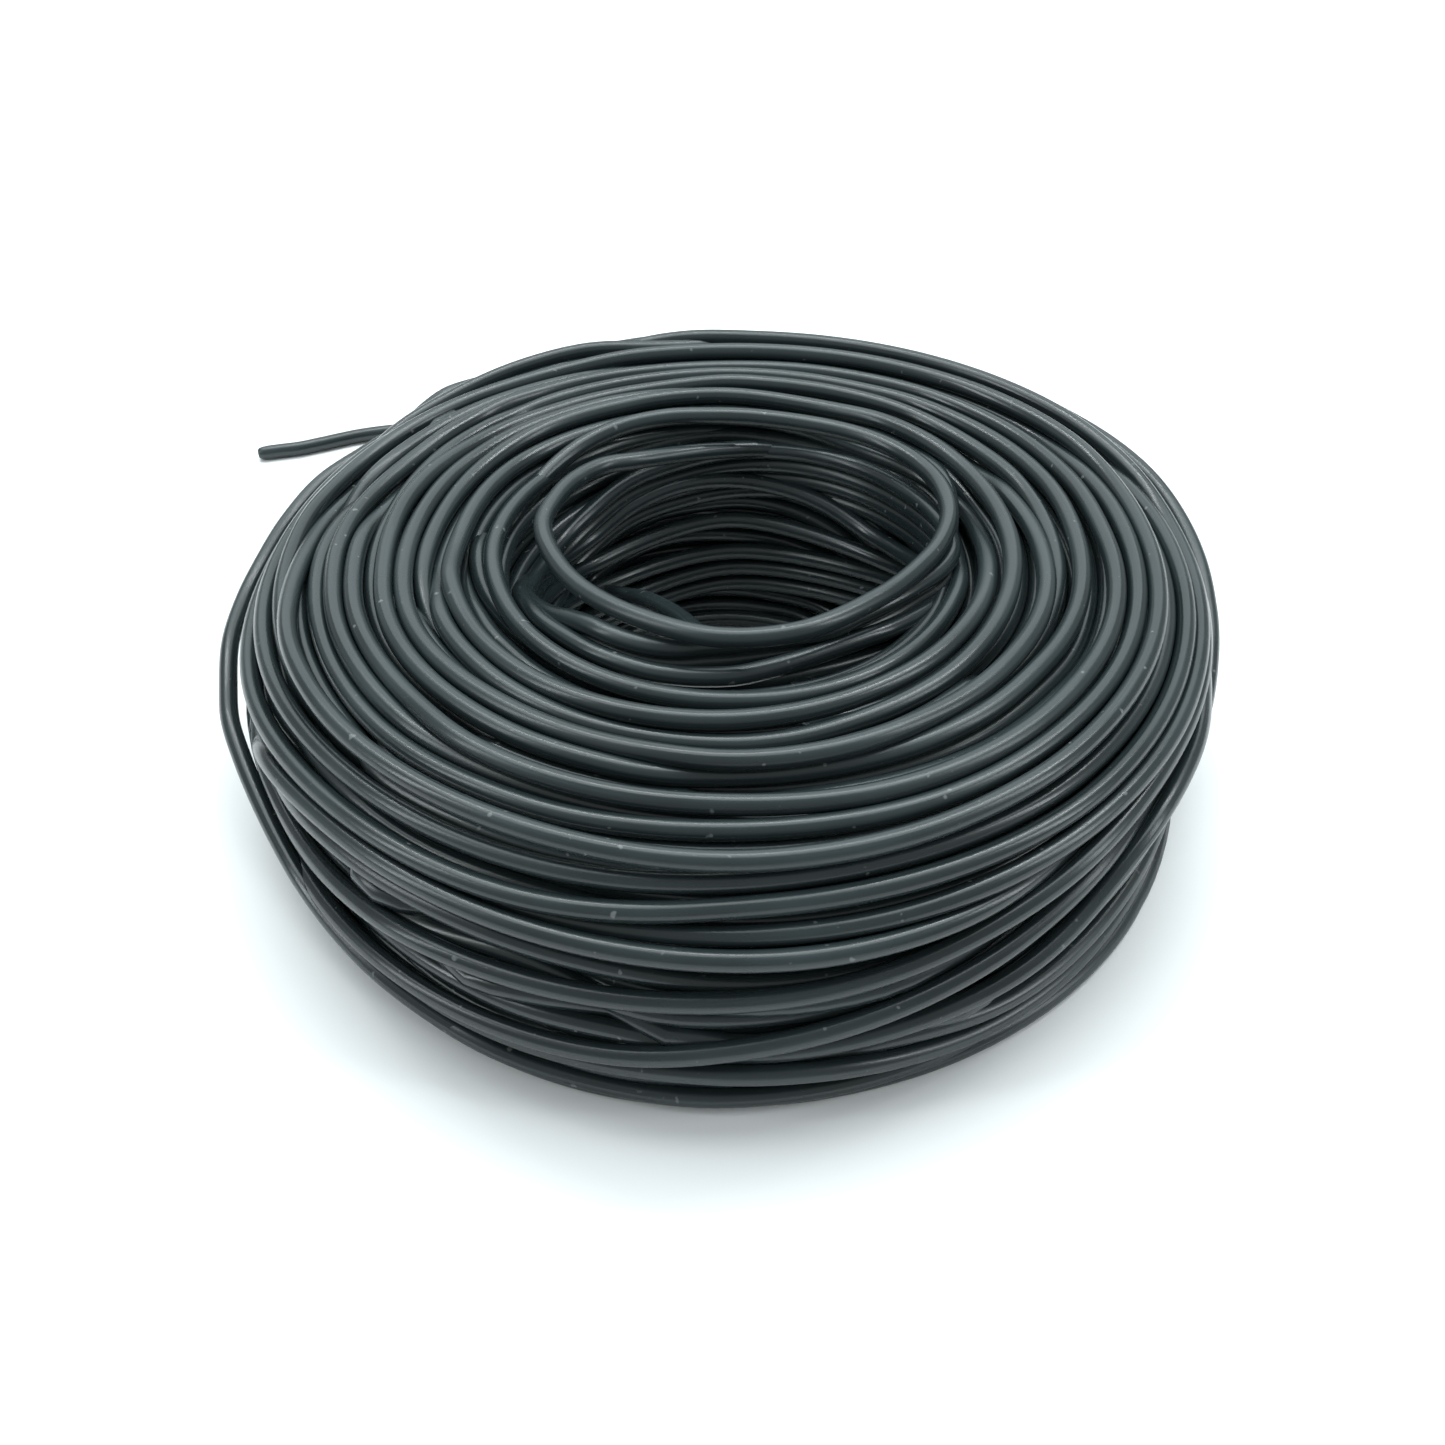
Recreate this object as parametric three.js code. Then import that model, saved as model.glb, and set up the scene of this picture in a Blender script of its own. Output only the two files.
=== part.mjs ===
// Loose coil of single-core PVC-insulated wire, lying flat.
// Millimetres, +Z up. Origin: on the surface it lies on, under the middle of its outline
// without the free end. The slack outermost turn is not centred on the wound body, so the
// body's axis stands at AXIS.
import * as THREE from 'three';

// ---- driving dimensions -------------------------------------------------
const WIRE_D = 4.5;              // outside diameter of the insulated wire
const BORE_R = 12.0;             // inner wall of the coil, to wire centres, in wire diameters
const BUMP_PITCH = 1.25;         // spacing of the turns across the coil's faces, in wire diameters
const CREST_HALF = 0.22;         // half width of the flat crest of a turn, in wire diameters
const CREST_OUT = 0.5;           // crest above the wire centres
const VALLEY_OUT = 0.06;         // groove bottom above the wire centres
const AXIS = [0.37, -0.72];       // the wound body's axis, in wire diameters
const RADIAL_SEGMENTS = 40;
const TUBE_SIDES = 8;
const JACKET = { color: 0x33383a, roughness: 0.42, metalness: 0.0 };

// Section of the coil through its wire centres, [radius, height] in wire diameters:
// up the bore wall, over the crowned top, down the bulging side, back along the floor.
const SECTION = [
  [BORE_R, 0.5], [BORE_R, 12.9], [12.9, 14.0], [15.0, 14.3], [18.0, 14.3], [21.0, 13.8],
  [23.6, 12.6], [25.1, 10.6], [25.6, 8.0], [25.3, 5.5], [25.1, 3.0], [25.0, 0.5],
];

function jacket() {
  return new THREE.MeshStandardMaterial(JACKET);
}

// ---- the wound body: one turned ring whose grooves are its turns ----------
function ringProfile() {
  const closed = SECTION.concat([SECTION[0]]);
  const legs = [];
  let total = 0;
  for (let i = 0; i < closed.length - 1; i++) {
    const [r0, z0] = closed[i];
    const [r1, z1] = closed[i + 1];
    const len = Math.hypot(r1 - r0, z1 - z0);
    legs.push({ r0, z0, r1, z1, len, start: total });
    total += len;
  }
  // point and outward normal at arc length s; the path runs clockwise seen with
  // radius to the right and height up, so its left side faces out of the section
  const at = (s) => {
    const t = ((s % total) + total) % total;
    let leg = legs[legs.length - 1];
    for (const l of legs) if (t >= l.start && t < l.start + l.len) { leg = l; break; }
    const k = (t - leg.start) / leg.len;
    const dr = (leg.r1 - leg.r0) / leg.len;
    const dz = (leg.z1 - leg.z0) / leg.len;
    return { r: leg.r0 + (leg.r1 - leg.r0) * k, z: leg.z0 + (leg.z1 - leg.z0) * k, nr: -dz, nz: dr };
  };
  const points = [];
  const addFace = (s0, s1, skipFirst) => {
    const n = Math.max(1, Math.round((s1 - s0) / BUMP_PITCH));
    const p = (s1 - s0) / n;
    for (let i = 0; i < n; i++) {
      const c = s0 + p * (i + 0.5);
      const row = [
        [c - p / 2, VALLEY_OUT], [c - CREST_HALF, CREST_OUT], [c + CREST_HALF, CREST_OUT],
      ];
      for (const [s, out] of row) {
        const a = at(s);
        const b = at(c);
        // the crest is flat: both its points take the normal of its middle
        const n0 = out === CREST_OUT ? b : a;
        points.push([a.r + n0.nr * out, a.z + n0.nz * out]);
      }
    }
  };
  // the three faces get whole turns each: bore wall, top with side, underside
  const wallEnd = legs[0].len;
  const sideEnd = legs[legs.length - 1].start;
  addFace(0.62, wallEnd);
  addFace(wallEnd, sideEnd - 0.05);
  addFace(sideEnd + 0.3, total - 0.3);
  points.push(points[0]);
  return points.map(([r, z]) => new THREE.Vector2(r * WIRE_D, Math.max(0, z) * WIRE_D));
}

function makeCoil() {
  const profile = ringProfile().reverse();
  const geometry = new THREE.LatheGeometry(profile, RADIAL_SEGMENTS);
  geometry.rotateX(Math.PI / 2);
  const mesh = new THREE.Mesh(geometry, jacket());
  mesh.name = 'wire_coil';
  mesh.position.set(AXIS[0] * WIRE_D, AXIS[1] * WIRE_D, 0);
  return mesh;
}

// ---- stretches of wire that stand clear of the wound body -----------------
function makeWire(name, route, steps) {
  const curve = new THREE.CatmullRomCurve3(
    route.map(([x, y, z]) => new THREE.Vector3(x * WIRE_D, y * WIRE_D, z * WIRE_D)), false, 'centripetal');
  const section = new THREE.Shape();
  for (let i = 0; i < TUBE_SIDES; i++) {
    const a = (2 * Math.PI * (i + 0.5)) / TUBE_SIDES;
    const x = (WIRE_D / 2) * Math.cos(a);
    const y = (WIRE_D / 2) * Math.sin(a);
    if (i === 0) section.moveTo(x, y); else section.lineTo(x, y);
  }
  const geometry = new THREE.ExtrudeGeometry(section, { steps, extrudePath: curve, bevelEnabled: false });
  const mesh = new THREE.Mesh(geometry, jacket());
  mesh.name = name;
  mesh.position.set(AXIS[0] * WIRE_D, AXIS[1] * WIRE_D, 0);
  return mesh;
}

// routes in wire diameters
const polar = (deg, r, z) => [r * Math.cos((deg * Math.PI) / 180), r * Math.sin((deg * Math.PI) / 180), z];

// the innermost turn, sprung up and out over the mouth of the bore
const INNER_TURN = [
  [-1.6, 10.9, 15.05], [1.9, 10.6, 15.1], [6.9, 8.9, 15.15], [9.7, 6.7, 15.15], [11.3, 3.9, 15.15],
  [11.65, 1.1, 15.15], [10.9, -1.9, 15.25], [9.5, -4.4, 15.4], [7.4, -7.0, 15.6], [3.4, -9.95, 15.8],
  [-0.4, -10.3, 15.7], [-4.2, -8.4, 15.35], [-7.3, -5.5, 15.0], [-9.0, -2.4, 14.8], [-9.75, 0.7, 14.6],
  [-9.3, 3.2, 14.45], [-8.5, 5.1, 14.35], [-7.0, 6.9, 14.2], [-5.1, 7.9, 13.95],
];

// the outermost turn: slack all the way round, coming out of the wall on the right, over
// the back, bulging at the back left, then down to the floor in front
const OUTER_TURN = [
  polar(0, 26.85, 7.8), polar(5, 27.1, 8.3), polar(11, 27.55, 8.9), polar(18, 27.95, 9.5),
  polar(25, 28.15, 10.1), polar(32, 28.1, 10.5), polar(40, 28.0, 10.7), polar(50, 27.95, 10.9),
  polar(62, 27.95, 11.0), polar(77, 27.8, 11.1), polar(100, 27.7, 11.0), polar(114, 27.6, 10.7),
  polar(120, 27.75, 10.45), polar(124, 28.35, 10.15), polar(129, 28.9, 9.9), polar(133, 28.5, 9.7),
  polar(137, 28.0, 9.4), polar(143, 28.1, 9.1), polar(151, 28.5, 8.75), polar(159, 28.35, 8.2),
  polar(166, 28.1, 7.7), polar(172, 28.05, 7.2), polar(179, 27.85, 6.8), polar(186, 27.45, 6.2),
  polar(191, 27.2, 5.9), polar(196, 26.8, 5.4), polar(202, 26.5, 4.8), polar(210, 26.4, 4.0),
  polar(221, 26.4, 2.9), polar(233, 26.4, 1.9), polar(245, 26.4, 1.1), polar(257, 26.35, 0.65),
  polar(270, 26.35, 0.51), polar(285, 26.35, 0.51), polar(300, 26.35, 0.51), polar(315, 26.35, 0.51),
  polar(330, 26.35, 0.51),
];

// the outer free end, leaving the wall behind the coil at floor level and lying on the floor
const FREE_END_Z = 0.51;
const FREE_END = [];
{
  const s = polar(54, 26.1, FREE_END_Z);
  const e = [-24.6, 33.5];
  const pull = 43;                       // how strongly the long arc holds its end directions
  const ts = [Math.cos((144 * Math.PI) / 180) * pull, Math.sin((144 * Math.PI) / 180) * pull];
  const te = [Math.cos((192 * Math.PI) / 180) * pull, Math.sin((192 * Math.PI) / 180) * pull];
  for (let k = 0; k <= 12; k++) {
    const t = k / 12;
    const h0 = 2 * t ** 3 - 3 * t ** 2 + 1;
    const h1 = t ** 3 - 2 * t ** 2 + t;
    const h2 = -2 * t ** 3 + 3 * t ** 2;
    const h3 = t ** 3 - t ** 2;
    FREE_END.push([
      h0 * s[0] + h1 * ts[0] + h2 * e[0] + h3 * te[0],
      h0 * s[1] + h1 * ts[1] + h2 * e[1] + h3 * te[1], FREE_END_Z,
    ]);
  }
  for (const [x, y] of [[-27.3, 32.8], [-30.06, 31.6], [-31.4, 31.03], [-32.8, 30.68], [-34.2, 30.3]]) {
    FREE_END.push([x, y, FREE_END_Z]);
  }
}

const group = new THREE.Group();
group.add(makeCoil());
group.add(makeWire('loose_inner_turn', INNER_TURN, 44));
group.add(makeWire('loose_outer_turn', OUTER_TURN, 74));
group.add(makeWire('free_end', FREE_END, 34));

export default group;
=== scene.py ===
import math

import bpy
import numpy as np
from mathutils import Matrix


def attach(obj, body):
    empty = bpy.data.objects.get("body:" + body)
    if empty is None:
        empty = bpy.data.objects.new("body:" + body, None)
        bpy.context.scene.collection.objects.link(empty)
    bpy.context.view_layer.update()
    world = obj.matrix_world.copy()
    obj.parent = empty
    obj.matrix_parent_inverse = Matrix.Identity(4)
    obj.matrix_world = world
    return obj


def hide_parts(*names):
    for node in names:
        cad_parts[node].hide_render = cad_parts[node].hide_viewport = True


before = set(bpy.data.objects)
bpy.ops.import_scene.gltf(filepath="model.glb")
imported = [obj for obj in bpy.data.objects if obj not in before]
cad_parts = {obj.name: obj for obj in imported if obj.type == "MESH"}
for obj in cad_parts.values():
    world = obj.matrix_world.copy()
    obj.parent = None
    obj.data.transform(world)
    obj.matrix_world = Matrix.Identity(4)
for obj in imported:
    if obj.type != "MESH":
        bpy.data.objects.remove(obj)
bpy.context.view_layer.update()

D = 0.0045  # one wire's outside diameter, metres; every route below is in diameters
AXIS = np.array([0.37, -0.72, 0.0])  # where the wound body's axis stands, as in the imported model
scene = bpy.context.scene
rng = np.random.default_rng(20417)

# ------------------------------------------------------------------ camera
cam_data = bpy.data.cameras.new("camera")
cam_data.sensor_width = 36.0
cam_data.lens = 38.07
cam = bpy.data.objects.new("camera", cam_data)
cam.location = ((AXIS[0] - 0.28) * D, (AXIS[1] - 66.4) * D, 60.5 * D)
cam.rotation_euler = (math.radians(90 - 41.8), 0.0, 0.0)
cam_data.clip_start, cam_data.clip_end = 0.01, 20.0
scene.collection.objects.link(cam)
scene.camera = cam


# ------------------------------------------------------------------ curves and tubes
def through(points, n, closed=False):
    """n points, evenly spaced along a smooth curve through the given ones."""
    p = np.array(points, float)
    if closed:
        q = np.vstack([p[-2:], p, p[:3]])
    else:
        q = np.vstack([2 * p[0] - p[1], p, 2 * p[-1] - p[-2]])
    lo = 2 if closed else 1
    count = len(p) if closed else len(p) - 1
    out = []
    for i in range(lo, lo + count):
        a, b, c, d = q[i - 1], q[i], q[i + 1], q[i + 2]
        k = np.sqrt(np.linalg.norm(np.diff([a, b, c, d], axis=0), axis=1)) + 1e-9
        t0, t1, t2, t3 = 0, k[0], k[0] + k[1], k[0] + k[1] + k[2]
        t = np.linspace(t1, t2, 24, endpoint=False)[:, None]
        a1 = (t1 - t) / (t1 - t0) * a + (t - t0) / (t1 - t0) * b
        a2 = (t2 - t) / (t2 - t1) * b + (t - t1) / (t2 - t1) * c
        a3 = (t3 - t) / (t3 - t2) * c + (t - t2) / (t3 - t2) * d
        b1 = (t2 - t) / (t2 - t0) * a1 + (t - t0) / (t2 - t0) * a2
        b2 = (t3 - t) / (t3 - t1) * a2 + (t - t1) / (t3 - t1) * a3
        out.append((t2 - t) / (t2 - t1) * b1 + (t - t1) / (t2 - t1) * b2)
    c = np.vstack(out)
    c = np.vstack([c, c[:1] if closed else p[-1:]])
    s = np.r_[0, np.cumsum(np.linalg.norm(np.diff(c, axis=0), axis=1))]
    u = np.linspace(0, s[-1], n, endpoint=not closed)
    return np.stack([np.interp(u, s, c[:, k]) for k in range(3)], 1)


def smooth_line(p, closed, times=2):
    for _ in range(times):
        if closed:
            p = (np.roll(p, 1, 0) + 2 * p + np.roll(p, -1, 0)) / 4
        else:
            p = p.copy()
            p[1:-1] = (p[:-2] + 2 * p[1:-1] + p[2:]) / 4
    return p


class Tubes:
    """Collects round wires as one mesh: faces in rings, domed ends on open ones, UV in metres along and around."""

    def __init__(self):
        self.v, self.f, self.uv, self.n = [], [], [], 0

    def add(self, path, closed, sides=12, radius=0.5, taper=None):
        p = (np.array(path, float) + AXIS) * D
        m = len(p)
        if closed:
            t = np.roll(p, -1, 0) - np.roll(p, 1, 0)
        else:
            t = np.gradient(p, axis=0)
        t /= np.linalg.norm(t, axis=1)[:, None] + 1e-12
        up = np.array([0.0, 0.0, 1.0])
        side = np.cross(t, up)
        ln = np.linalg.norm(side, axis=1)[:, None]
        side = side / np.maximum(ln, 1e-6)
        nrm = np.cross(side, t)
        ang = 2 * np.pi * (np.arange(sides) + 0.5) / sides
        rad = radius * D * (np.ones(m) if taper is None else taper)
        ring = (
            p[:, None, :]
            + (np.cos(ang)[None, :, None] * side[:, None, :] + np.sin(ang)[None, :, None] * nrm[:, None, :])
            * rad[:, None, None]
        )
        arc = np.r_[0, np.cumsum(np.linalg.norm(np.diff(p, axis=0), axis=1))]
        start = self.n
        self.v.append(ring.reshape(-1, 3))
        self.n += m * sides
        last = m if closed else m - 1
        whole = arc[-1] + (np.linalg.norm(p[0] - p[-1]) if closed else 0.0)
        jump = rng.uniform(0, 5)
        i, j = np.meshgrid(np.arange(last), np.arange(sides), indexing="ij")
        i2, j2 = (i + 1) % m, (j + 1) % sides
        quad = np.stack([start + i * sides + j, start + i2 * sides + j, start + i2 * sides + j2, start + i * sides + j2], -1)
        self.f.append(quad.reshape(-1, 4)[:, ::-1])
        u0 = arc[i] + jump
        u1 = np.where(i + 1 < m, arc[np.minimum(i + 1, m - 1)], whole) + jump
        v0, v1 = j / sides * D * 3.14, (j + 1) / sides * D * 3.14
        uv = np.stack([np.stack([u0, v0], -1), np.stack([u1, v0], -1), np.stack([u1, v1], -1), np.stack([u0, v1], -1)], -2)
        self.uv.append(uv.reshape(-1, 4, 2)[:, ::-1])
        if not closed:
            self._cap(ring[0], p[0], -t[0], start, sides, rad[0], False, arc[0] + jump)
            self._cap(ring[-1], p[-1], t[-1], start + (m - 1) * sides, sides, rad[-1], True, arc[-1] + jump)

    def _cap(self, ring, centre, out, first, sides, rad, end, u):
        inner = centre + (ring - centre) * 0.72 + out * rad * 0.28
        a = self.n
        self.v.append(inner)
        self.v.append((centre + out * rad * 0.36)[None])
        self.n += sides + 1
        j = np.arange(sides)
        j2 = (j + 1) % sides
        quad = np.stack([first + j, first + j2, a + j2, a + j], -1)
        tri = np.stack([a + j, a + j2, np.full(sides, a + sides)], -1)
        if not end:
            quad, tri = quad[:, ::-1], tri[:, ::-1]
        self.f.append(quad)
        self.uv.append(np.tile(np.array([[u, 0.0]]), (sides, 4, 1)))
        self.f.append(tri)
        self.uv.append(np.tile(np.array([[u, 0.0]]), (sides, 3, 1)))

    def build(self, name, material):
        verts = np.vstack(self.v)
        faces, uvs = [], []
        for f, uv in zip(self.f, self.uv):
            faces.extend(f.tolist())
            uvs.append(uv.reshape(-1, 2))
        me = bpy.data.meshes.new(name)
        me.from_pydata(verts.tolist(), [], faces)
        layer = me.uv_layers.new(name="along")
        layer.data.foreach_set("uv", np.vstack(uvs).astype(np.float32).ravel())
        me.polygons.foreach_set("use_smooth", np.ones(len(faces), bool))
        me.materials.append(material)
        me.update()
        ob = bpy.data.objects.new(name, me)
        scene.collection.objects.link(ob)
        tris = sum(len(f) * (2 if f.shape[1] == 4 else 1) for f in self.f)
        print("PIECE", name, "triangles", tris)
        return ob


# ------------------------------------------------------------------ material
def pvc(name, base, rough, scuff=0.0):
    mat = bpy.data.materials.new(name)
    mat.use_nodes = True
    nt = mat.node_tree
    nodes, links = nt.nodes, nt.links
    bsdf = nodes["Principled BSDF"]
    bsdf.inputs["IOR"].default_value = 1.5
    bsdf.inputs["Specular IOR Level"].default_value = 0.5

    uv = nodes.new("ShaderNodeUVMap")
    uv.uv_map = "along"
    geo = nodes.new("ShaderNodeTexCoord")

    def noise(scale, detail, vec, rough_=0.5):
        n = nodes.new("ShaderNodeTexNoise")
        n.inputs["Scale"].default_value = scale
        n.inputs["Detail"].default_value = detail
        n.inputs["Roughness"].default_value = rough_
        links.new(vec, n.inputs["Vector"])
        return n.outputs["Fac"]

    def ramp(fac, stops):
        r = nodes.new("ShaderNodeValToRGB")
        r.color_ramp.elements[0].position, r.color_ramp.elements[0].color = stops[0][0], stops[0][1]
        r.color_ramp.elements[1].position, r.color_ramp.elements[1].color = stops[-1][0], stops[-1][1]
        for pos, col in stops[1:-1]:
            e = r.color_ramp.elements.new(pos)
            e.color = col
        links.new(fac, r.inputs["Fac"])
        return r.outputs["Color"]

    def grey(v):
        return (v, v, v, 1.0)

    stretch = nodes.new("ShaderNodeMapping")
    stretch.inputs["Scale"].default_value = (14.0, 900.0, 1.0)
    links.new(uv.outputs["UV"], stretch.inputs["Vector"])
    streaks = noise(1.0, 3.0, stretch.outputs["Vector"])

    cloud = noise(28.0, 3.0, geo.outputs["Object"])
    fine = noise(1500.0, 2.0, geo.outputs["Object"], 0.6)
    dust = noise(420.0, 1.0, geo.outputs["Object"])

    mix = nodes.new("ShaderNodeMix")
    mix.data_type = "RGBA"
    b = base
    mix.inputs["A"].default_value = (b[0] * 0.82, b[1] * 0.82, b[2] * 0.82, 1)
    mix.inputs["B"].default_value = (b[0] * 1.25, b[1] * 1.25, b[2] * 1.25, 1)
    links.new(ramp(cloud, [(0.35, grey(0)), (0.68, grey(1))]), mix.inputs["Factor"])

    mix2 = nodes.new("ShaderNodeMix")
    mix2.data_type = "RGBA"
    mix2.inputs["B"].default_value = (b[0] * 1.9, b[1] * 1.9, b[2] * 1.9, 1)
    links.new(mix.outputs["Result"], mix2.inputs["A"])
    links.new(ramp(streaks, [(0.55, grey(0)), (0.80, grey(0.5))]), mix2.inputs["Factor"])

    mix3 = nodes.new("ShaderNodeMix")
    mix3.data_type = "RGBA"
    mix3.inputs["B"].default_value = (0.20, 0.21, 0.21, 1)
    links.new(mix2.outputs["Result"], mix3.inputs["A"])
    links.new(ramp(dust, [(0.745, grey(0)), (0.80, grey(0.55))]), mix3.inputs["Factor"])
    links.new(mix3.outputs["Result"], bsdf.inputs["Base Color"])

    r1 = nodes.new("ShaderNodeMapRange")
    r1.inputs["From Min"].default_value = 0.3
    r1.inputs["From Max"].default_value = 0.7
    r1.inputs["To Min"].default_value = rough - 0.06
    r1.inputs["To Max"].default_value = rough + 0.08
    links.new(cloud, r1.inputs["Value"])
    r2 = nodes.new("ShaderNodeMath")
    r2.operation = "MULTIPLY_ADD"
    r2.inputs[1].default_value = 0.10
    links.new(streaks, r2.inputs[0])
    links.new(r1.outputs["Result"], r2.inputs[2])
    links.new(r2.outputs["Value"], bsdf.inputs["Roughness"])

    h = nodes.new("ShaderNodeMath")
    h.operation = "MULTIPLY_ADD"
    h.inputs[1].default_value = 0.35
    links.new(fine, h.inputs[0])
    links.new(streaks, h.inputs[2])
    bump = nodes.new("ShaderNodeBump")
    bump.inputs["Strength"].default_value = 0.10
    bump.inputs["Distance"].default_value = 0.0004
    links.new(h.outputs["Value"], bump.inputs["Height"])
    links.new(bump.outputs["Normal"], bsdf.inputs["Normal"])
    return mat


WIRE = pvc("wire_jacket", (0.0175, 0.0255, 0.0270), 0.21)
# painted shade: the coil's inside gets a darker, duller wire colour that stands for the shade deep between the turns
CORE = pvc("wire_shadow", (0.006, 0.007, 0.007), 0.6)


def deg(p):
    """Points written as (degrees, radius, height)."""
    return [(r * math.cos(math.radians(a)), r * math.sin(math.radians(a)), z) for a, r, z in p]


# ------------------------------------------------------------------ free end, lying on the floor
def free_end_route():
    s = np.array(deg([(54, 26.1, 0.51)])[0])
    e = np.array([-24.6, 33.5, 0.51])
    ts = 43 * np.array([math.cos(math.radians(144)), math.sin(math.radians(144)), 0.0])
    te = 43 * np.array([math.cos(math.radians(192)), math.sin(math.radians(192)), 0.0])
    out = []
    for k in range(13):
        t = k / 12
        out.append(
            (2 * t**3 - 3 * t**2 + 1) * s + (t**3 - 2 * t**2 + t) * ts + (-2 * t**3 + 3 * t**2) * e + (t**3 - t**2) * te
        )
    return out + [(x, y, 0.51) for x, y in [(-27.3, 32.8), (-30.06, 31.6), (-31.4, 31.03), (-32.8, 30.68), (-34.2, 30.3)]]


tail_pts = free_end_route()

# ------------------------------------------------------------------ how the outer turns run, in diameters and degrees
CTRL=[(13.0,13.9),(15,14.3),(18,14.3),(21,13.8),(23.6,12.6),(25.2,10.6),(26.0,8),(26.2,5.5),(26.0,3),(25.4,0.5)]
N=240                       # slices round the coil
TH=-180+360*np.arange(N)/N  # degrees
# rings of the outer layer: name, the ring it runs on into, {angle: distance out along the section}, {angle: how deep it is nested}
R={}
def ring(name,succ,s,layer=0.0):
    R[name]=(succ,s,layer)
ring('a','a',{-180:1.1,-170:1.35,-160:1.6,-150:1.75,-140:1.85,-130:1.9,-120:1.95,-110:1.9,-100:1.75,-90:1.6,-80:1.4,-70:1.2,-60:1.0,-50:.9,-40:.75,-30:.65,-20:.55,-10:.45,0:.35,10:.3,20:.1,30:-.2,40:-.6,50:-.7,60:-.65,75:-.5,90:-.3,105:-.05,120:.2,130:.4,140:.65,150:.85,160:.95,170:1.0},
     {-180:0,0:0,10:.6,20:1,30:1,40:.5,55:0,150:0})
ring('x','b',{-180:0.3,-165:0.1,-150:-.1,-120:-.35,-90:-.45,-60:-.75,-30:-1.3,0:-1.45,5:-1.2,10:-.8,15:-.4,20:-.1,25:.15,30:.3,40:.35,50:.15,60:.1,75:0,90:.15,105:.35,120:.6,130:.85,140:1.15,150:1.35,160:1.5,170:1.65},
     {-180:.6,-120:1,-60:.8,-10:0,5:-.6,15:-1,30:-1,45:-.5,60:0,120:0,140:.5,160:.9,175:.9})
ring('b','p',{-180:1.9,-170:2.2,-160:2.55,-150:2.85,-140:3.0,-130:3.15,-120:3.2,-110:3.25,-100:3.35,-90:3.45,-80:3.3,-70:2.95,-60:2.7,-50:2.5,-40:2.2,-30:1.95,-20:1.75,-10:1.55,0:1.4,10:1.3,20:1.25,30:1.2,40:1.2,50:1.2,60:1.05,75:1.05,90:1.35,105:1.45,120:1.55,130:1.8,140:2.0,150:2.1,160:2.25,170:2.4},
     {-180:.8,-165:.3,-150:0,-120:0,-100:.5,-90:.6,-80:.3,-70:0,150:0,170:.3})
ring('p','c',{-180:2.6,-170:2.95,-160:3.35,-150:3.6,-140:3.85,-120:3.9,-100:3.95,-90:3.95,-70:3.8,-50:3.25,-40:3.0,-30:2.85,-20:2.65,-10:2.4,0:2.2,10:2.05,20:1.95,30:1.95,40:2.0,60:1.85,90:1.95,105:2.1,120:2.3,130:2.5,140:2.8,150:3.0,160:3.25,170:3.4},
     {-180:.2,-160:.5,-150:.9,-140:1.3,-60:1.3,-40:1,-20:.8,0:.6,20:.5,40:.3,60:.2,90:0,150:0})
ring('c','h1',{-180:3.6,-170:3.85,-160:4.15,-150:4.3,-140:4.25,-130:4.15,-120:4.15,-110:4.2,-100:4.3,-90:4.35,-80:4.3,-70:4.2,-60:4.1,-50:4.0,-40:3.85,-30:3.75,-20:3.55,-10:3.25,0:3.0,10:2.7,20:2.45,30:2.3,40:2.4,60:2.6,90:2.9,120:3.6,140:4.4,150:4.9,160:5.3,170:5.85},
     {-180:0,10:0,20:.4,30:.9,40:1.3,150:1.4,165:1.0,175:.5})
ring('h1','f',{-180:6.3,-170:6.45,-160:6.6,-150:6.6,-140:6.65,-130:6.75,-120:6.8,-110:6.8,-100:6.8,-90:6.8,-80:6.95,-70:7.15,-60:7.2,-50:7.2,-40:7.1,-30:7.1,-20:7.0,-10:6.8,0:6.5,10:6.45,20:6.3,30:6.15,40:5.9,50:5.7,60:5.3,75:4.95,90:4.65,105:4.8,120:5.2,130:5.55,140:5.8,150:6.0,160:6.4,170:7.05},
     {-180:.2,-170:0,170:0})
ring('f','g',{-180:7.5,-170:7.55,-160:7.6,-150:7.55,-140:7.55,-130:7.6,-120:7.6,-110:7.6,-100:7.7,-90:7.85,-80:7.95,-60:7.9,-40:7.7,-20:7.4,0:7.1,20:6.9,40:6.6,60:6.3,90:5.5,105:5.6,120:6.1,140:6.7,150:6.9,160:7.1,165:7.35,170:7.9},
     {-180:0,-110:0,-100:.4,-90:.9,-80:1.3,150:1.3,160:1.0,165:.75,170:.45})
ring('g','g2',{-180:8.35,-170:8.4,-160:8.45,-150:8.55,-140:8.6,-130:8.55,-120:8.45,-110:8.4,-100:8.25,-90:8.15,-80:8.15,-70:8.2,-60:8.25,-50:8.2,-40:8.2,-30:8.2,-20:8.1,-10:7.95,0:7.75,10:7.65,20:7.55,30:7.3,40:7.0,60:6.4,75:5.95,90:5.7,105:5.6,120:5.95,130:6.4,140:6.9,150:7.3,160:7.75,165:8.25,170:8.5},
     {-180:.2,-170:.1,-155:.05,-145:0,90:0,105:.4,120:.2,130:0,150:0,160:.1,165:.5,170:1.15})
ring('g2','h',{-180:8.75,-170:8.9,-160:9.05,-150:9.2,-140:9.25,-120:9.1,-100:9.0,-80:9.0,-60:8.9,-30:8.7,0:8.3,30:7.8,60:6.9,90:6.3,105:6.3,120:6.8,140:8.0,160:9.05,165:9.25,170:9.4},
     {-180:1.15,-160:1.2,-150:1.3,-140:1.4,120:1.4,160:1.1,165:.9,170:.6})
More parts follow.
